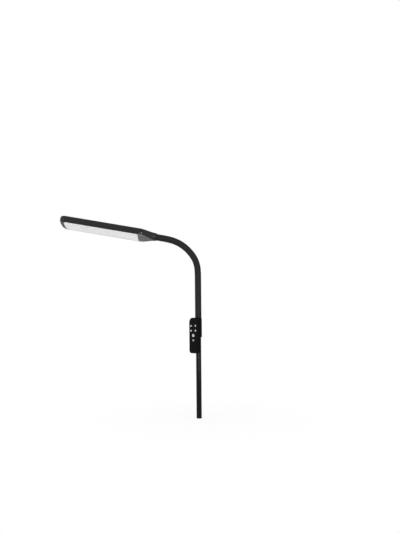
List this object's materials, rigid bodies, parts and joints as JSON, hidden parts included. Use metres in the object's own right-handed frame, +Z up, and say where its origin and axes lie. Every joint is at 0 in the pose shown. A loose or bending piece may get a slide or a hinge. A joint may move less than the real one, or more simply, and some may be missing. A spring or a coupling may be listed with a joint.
{
  "type": "gooseneck lamp head",
  "caption": "Slim LED light bar on a bendable gooseneck, with a keypad housing clamped where the neck joins a round pole section that screws onto a stand.",
  "frame": {"origin": "centre of the pole's foot, where its threaded bore opens", "axes": "+Z up the pole; -X is the side that the light bar points to; the keypad faces half way between -X and -Y"},
  "size_m": [0.4204, 0.0577, 0.6047],
  "materials": {
    "pole_paint": "satin black paint",
    "steel": "plain turned or wound steel",
    "brass": "plain turned brass",
    "neck_silicone": "matte black silicone",
    "shell_black": "satin black moulded plastic",
    "bezel_black": "glossy black moulded plastic",
    "pad_black": "fine matte black moulded plastic",
    "key_white": "pale translucent moulded keys",
    "opal": "opal white diffuser, unlit",
    "reflector_white": "white moulded reflector",
    "board_white": "white solder mask",
    "board_green": "green solder mask",
    "led": "phosphor faced LED packages",
    "heat_aluminium": "rolled aluminium sheet",
    "switch_grey": "moulded switch bodies",
    "connector_cream": "nylon plug",
    "lead_black": "PVC covered lead"
  },
  "bodies": {
    "stand": {"pole_tube": "pole_paint", "pole_foot_bush": "brass", "lead_socket": "lead_black", "pole_lead": "lead_black", "neck_ferrule_lower": "steel", "neck_sleeve_00": "neck_silicone", "control_back_shell": "pad_black", "control_front_shell": "pad_black", "control_screws": "steel", "clamp_grub_screws": "steel", "control_board": "board_green", "control_board_screws": "steel", "tact_switches": "switch_grey", "board_connector": "connector_cream"},
    "neck_01": {"neck_sleeve_01": "neck_silicone", "neck_core_01": "steel"},
    "neck_02": {"neck_sleeve_02": "neck_silicone", "neck_core_02": "steel"},
    "neck_03": {"neck_sleeve_03": "neck_silicone", "neck_core_03": "steel"},
    "neck_04": {"neck_sleeve_04": "neck_silicone", "neck_core_04": "steel"},
    "neck_05": {"neck_sleeve_05": "neck_silicone", "neck_core_05": "steel"},
    "neck_06": {"neck_sleeve_06": "neck_silicone", "neck_core_06": "steel"},
    "neck_07": {"neck_sleeve_07": "neck_silicone", "neck_core_07": "steel"},
    "neck_08": {"neck_sleeve_08": "neck_silicone", "neck_core_08": "steel"},
    "neck_09": {"neck_sleeve_09": "neck_silicone", "neck_core_09": "steel"},
    "neck_10": {"neck_sleeve_10": "neck_silicone", "neck_core_10": "steel"},
    "neck_11": {"neck_sleeve_11": "neck_silicone", "neck_core_11": "steel"},
    "neck_12": {"neck_sleeve_12": "neck_silicone", "neck_core_12": "steel"},
    "neck_13": {"neck_sleeve_13": "neck_silicone", "neck_core_13": "steel"},
    "neck_14": {"neck_sleeve_14": "neck_silicone", "neck_ferrule_upper": "brass", "swivel_washer": "steel", "swivel_nut": "brass"},
    "head": {"head_top_shell": "shell_black", "head_bezel": "bezel_black", "diffuser": "opal", "reflector_frame": "reflector_white", "led_board": "board_white", "leds": "led", "heat_plate": "heat_aluminium", "head_board_screws": "steel", "driver_board": "board_green"},
    "key_upper_left": {"key_upper_left": "key_white"},
    "key_upper_right": {"key_upper_right": "key_white"},
    "key_middle_left": {"key_middle_left": "key_white"},
    "key_middle_right": {"key_middle_right": "key_white"},
    "key_lower": {"key_lower": "key_white"},
    "key_power": {"key_power": "key_white"}
  },
  "joints": [
    {"name": "lower_sway", "type": "hinge", "parent": "stand", "child": "neck_01", "pos_m": [0, 0, 0.325], "axis": [1, 0, 0], "range_deg": [-20, 20]},
    {"name": "lower_bend", "type": "hinge", "parent": "neck_01", "child": "neck_02", "pos_m": [0, 0, 0.347], "axis": [0, -1, 0], "range_deg": [-20, 14]},
    {"name": "lower_sway_2", "type": "hinge", "parent": "neck_02", "child": "neck_03", "pos_m": [0, 0, 0.369], "axis": [1, 0, 0], "range_deg": [-20, 20]},
    {"name": "lower_bend_2", "type": "hinge", "parent": "neck_03", "child": "neck_04", "pos_m": [0, 0, 0.391], "axis": [0, -1, 0], "range_deg": [-20, 14]},
    {"name": "lower_sway_3", "type": "hinge", "parent": "neck_04", "child": "neck_05", "pos_m": [0, 0, 0.413], "axis": [1, 0, 0], "range_deg": [-20, 20]},
    {"name": "upper_bend", "type": "hinge", "parent": "neck_05", "child": "neck_06", "pos_m": [0, 0, 0.435], "axis": [0, -1, 0], "range_deg": [-26, 12]},
    {"name": "upper_bend_2", "type": "hinge", "parent": "neck_06", "child": "neck_07", "pos_m": [-0.00153, 0, 0.45695], "axis": [0, -1, 0], "range_deg": [-26, 12]},
    {"name": "upper_sway", "type": "hinge", "parent": "neck_07", "child": "neck_08", "pos_m": [-0.0087, 0, 0.47775], "axis": [0.829, 0, 0.5592], "range_deg": [-20, 20]},
    {"name": "upper_bend_3", "type": "hinge", "parent": "neck_08", "child": "neck_09", "pos_m": [-0.021, 0, 0.49599], "axis": [0, -1, 0], "range_deg": [-26, 12]},
    {"name": "upper_bend_4", "type": "hinge", "parent": "neck_09", "child": "neck_10", "pos_m": [-0.03628, 0, 0.51181], "axis": [0, -1, 0], "range_deg": [-26, 12]},
    {"name": "upper_sway_2", "type": "hinge", "parent": "neck_10", "child": "neck_11", "pos_m": [-0.05408, 0, 0.52474], "axis": [0.4067, 0, 0.9135], "range_deg": [-20, 20]},
    {"name": "upper_bend_5", "type": "hinge", "parent": "neck_11", "child": "neck_12", "pos_m": [-0.07418, 0, 0.53369], "axis": [0, -1, 0], "range_deg": [-26, 12]},
    {"name": "upper_bend_6", "type": "hinge", "parent": "neck_12", "child": "neck_13", "pos_m": [-0.09552, 0, 0.53901], "axis": [0, -1, 0], "range_deg": [-26, 12]},
    {"name": "upper_sway_3", "type": "hinge", "parent": "neck_13", "child": "neck_14", "pos_m": [-0.11719, 0, 0.54283], "axis": [0.1736, 0, 0.9848], "range_deg": [-20, 20]},
    {"name": "head_swivel", "type": "hinge", "parent": "neck_14", "child": "head", "pos_m": [-0.12325, 0, 0.5439], "axis": [-0.9848, 0, 0.1736], "range_deg": [-180, 180]},
    {"name": "press_upper_left", "type": "slide", "parent": "stand", "child": "key_upper_left", "axis": [0.7071, 0.7071, 0], "range_m": [0, 0.0007], "stiffness_N_per_m": 1500, "springref_m": -0.0006},
    {"name": "press_upper_right", "type": "slide", "parent": "stand", "child": "key_upper_right", "axis": [0.7071, 0.7071, 0], "range_m": [0, 0.0007], "stiffness_N_per_m": 1500, "springref_m": -0.0006},
    {"name": "press_middle_left", "type": "slide", "parent": "stand", "child": "key_middle_left", "axis": [0.7071, 0.7071, 0], "range_m": [0, 0.0007], "stiffness_N_per_m": 1500, "springref_m": -0.0006},
    {"name": "press_middle_right", "type": "slide", "parent": "stand", "child": "key_middle_right", "axis": [0.7071, 0.7071, 0], "range_m": [0, 0.0007], "stiffness_N_per_m": 1500, "springref_m": -0.0006},
    {"name": "press_lower", "type": "slide", "parent": "stand", "child": "key_lower", "axis": [0.7071, 0.7071, 0], "range_m": [0, 0.0007], "stiffness_N_per_m": 1500, "springref_m": -0.0006},
    {"name": "press_power", "type": "slide", "parent": "stand", "child": "key_power", "axis": [0.7071, 0.7071, 0], "range_m": [0, 0.0007], "stiffness_N_per_m": 1500, "springref_m": -0.0006}
  ],
  "couplings": [
    {"joint": "upper_bend_2", "follows": "upper_bend", "ratio": 1},
    {"joint": "upper_bend_3", "follows": "upper_bend", "ratio": 1},
    {"joint": "upper_bend_4", "follows": "upper_bend", "ratio": 1},
    {"joint": "upper_bend_5", "follows": "upper_bend", "ratio": 1},
    {"joint": "upper_bend_6", "follows": "upper_bend", "ratio": 1},
    {"joint": "lower_bend_2", "follows": "lower_bend", "ratio": 1},
    {"joint": "upper_sway_2", "follows": "upper_sway", "ratio": 1},
    {"joint": "upper_sway_3", "follows": "upper_sway", "ratio": 1},
    {"joint": "lower_sway_2", "follows": "lower_sway", "ratio": 1},
    {"joint": "lower_sway_3", "follows": "lower_sway", "ratio": 1}
  ]
}
